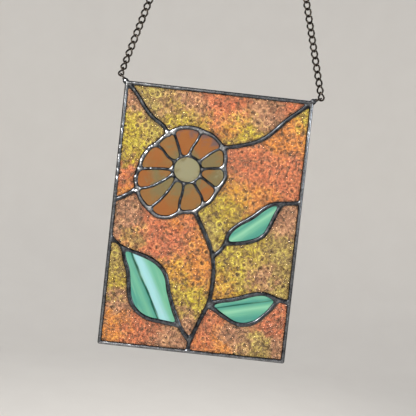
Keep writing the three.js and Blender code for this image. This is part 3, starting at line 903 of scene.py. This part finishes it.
# The stage is one pale floor that curves up all round into a wall, well clear of the panel.
floor_height = -1.0
ring_count, step_count = 64, 26
reach = np.concatenate([np.linspace(0.02, 2.2, 12),
                        2.2 + 0.8 * np.sin(np.linspace(0, np.pi / 2, 10)[1:]), [3.0] * 4])
lift = np.concatenate([np.zeros(12), 0.8 * (1 - np.cos(np.linspace(0, np.pi / 2, 10)[1:])),
                       [1.1, 1.4, 1.7, 2.0]])
turns = np.arange(ring_count) / ring_count * 2 * np.pi
points = np.stack([reach[:, None] * np.cos(turns), reach[:, None] * np.sin(turns),
                   floor_height + np.repeat(lift[:, None], ring_count, 1)], -1).reshape(-1, 3)
i, j = np.meshgrid(np.arange(len(reach) - 1), np.arange(ring_count), indexing="ij")
j2 = (j + 1) % ring_count
squares = np.stack([i * ring_count + j, (i + 1) * ring_count + j, (i + 1) * ring_count + j2,
                    i * ring_count + j2], -1).reshape(-1, 4)
points = np.concatenate([points, [[0, 0, floor_height]]])
hub = np.stack([np.full(ring_count, len(points) - 1), np.arange(ring_count),
                (np.arange(ring_count) + 1) % ring_count], 1)
floor = piece("pale_floor", points, squares, hub)
floor_paint = bpy.data.materials.new("pale_floor")
floor_paint.use_nodes = True
tree = floor_paint.node_tree
shader = tree.nodes["Principled BSDF"]
speckle = new_node(tree, "ShaderNodeTexNoise", Scale=9.0, Detail=3.0)
shade = tree.nodes.new("ShaderNodeValToRGB")
shade.color_ramp.elements[0].color = (0.76, 0.74, 0.71, 1)
shade.color_ramp.elements[1].color = (0.80, 0.785, 0.755, 1)
spot = tree.nodes.new("ShaderNodeTexCoord")
tree.links.new(spot.outputs["Object"], speckle.inputs["Vector"])
tree.links.new(speckle.outputs["Fac"], shade.inputs["Fac"])
tree.links.new(shade.outputs["Color"], shader.inputs["Base Color"])
shader.inputs["Roughness"].default_value = 0.8
floor.data.materials.append(floor_paint)


# Soft studio light: a broad window high on the left, a weaker one on the right, a lamp behind
# that shines through the glass, and an even pale sky.
def lamp(name, place, target, width, power, colour):
    """A square soft light at a place, facing a target."""
    light = bpy.data.lights.new(name, "AREA")
    light.shape = "SQUARE"
    light.size = width
    light.energy = power
    light.color = colour
    made = bpy.data.objects.new(name, light)
    made.location = place
    made.rotation_euler = (Vector(target) - Vector(place)).to_track_quat("-Z", "Y").to_euler()
    bpy.context.scene.collection.objects.link(made)


panel_middle = (0.0, 0.0, -0.33)
lamp("window_left", (-0.6, -1.3, 0.3), panel_middle, 0.3, 36.0, (1.0, 0.95, 0.88))
lamp("window_right", (1.1, -0.7, -0.1), panel_middle, 0.3, 7.0, (0.92, 0.96, 1.0))
lamp("behind", (0.4, 1.3, 0.7), panel_middle, 0.8, 14.0, (1.0, 0.97, 0.92))
world = bpy.data.worlds.new("pale_sky")
world.use_nodes = True
world.node_tree.nodes["Background"].inputs["Color"].default_value = (0.95, 0.96, 1.0, 1)
world.node_tree.nodes["Background"].inputs["Strength"].default_value = 0.5
bpy.context.scene.world = world
bpy.context.scene.view_settings.view_transform = "Standard"


# The camera looks square at the panel from a little above its middle, and is rolled, because
# the panel lies aslant in the picture.
view_width = np.radians(35)
azimuth, elevation, roll = np.radians((-0.51, 1.47, 6.29))
target = np.array([0.0008, 0.0, -0.3289])
outward = np.array([np.sin(azimuth) * np.cos(elevation), -np.cos(azimuth) * np.cos(elevation),
                    np.sin(elevation)])
right = np.cross(-outward, [0, 0, 1])
right /= np.linalg.norm(right)
up = np.cross(right, -outward)
camera_right = np.cos(roll) * right + np.sin(roll) * up
camera_up = np.cos(roll) * up - np.sin(roll) * right
camera = bpy.data.objects.new("camera", bpy.data.cameras.new("camera"))
camera.data.angle = view_width
camera.data.clip_start = 0.01
camera.matrix_world = Matrix.Translation(Vector(target + 0.445 * outward)) @ Matrix(
    np.stack([camera_right, camera_up, outward], 1).tolist()).to_4x4()
bpy.context.scene.collection.objects.link(camera)
bpy.context.scene.camera = camera
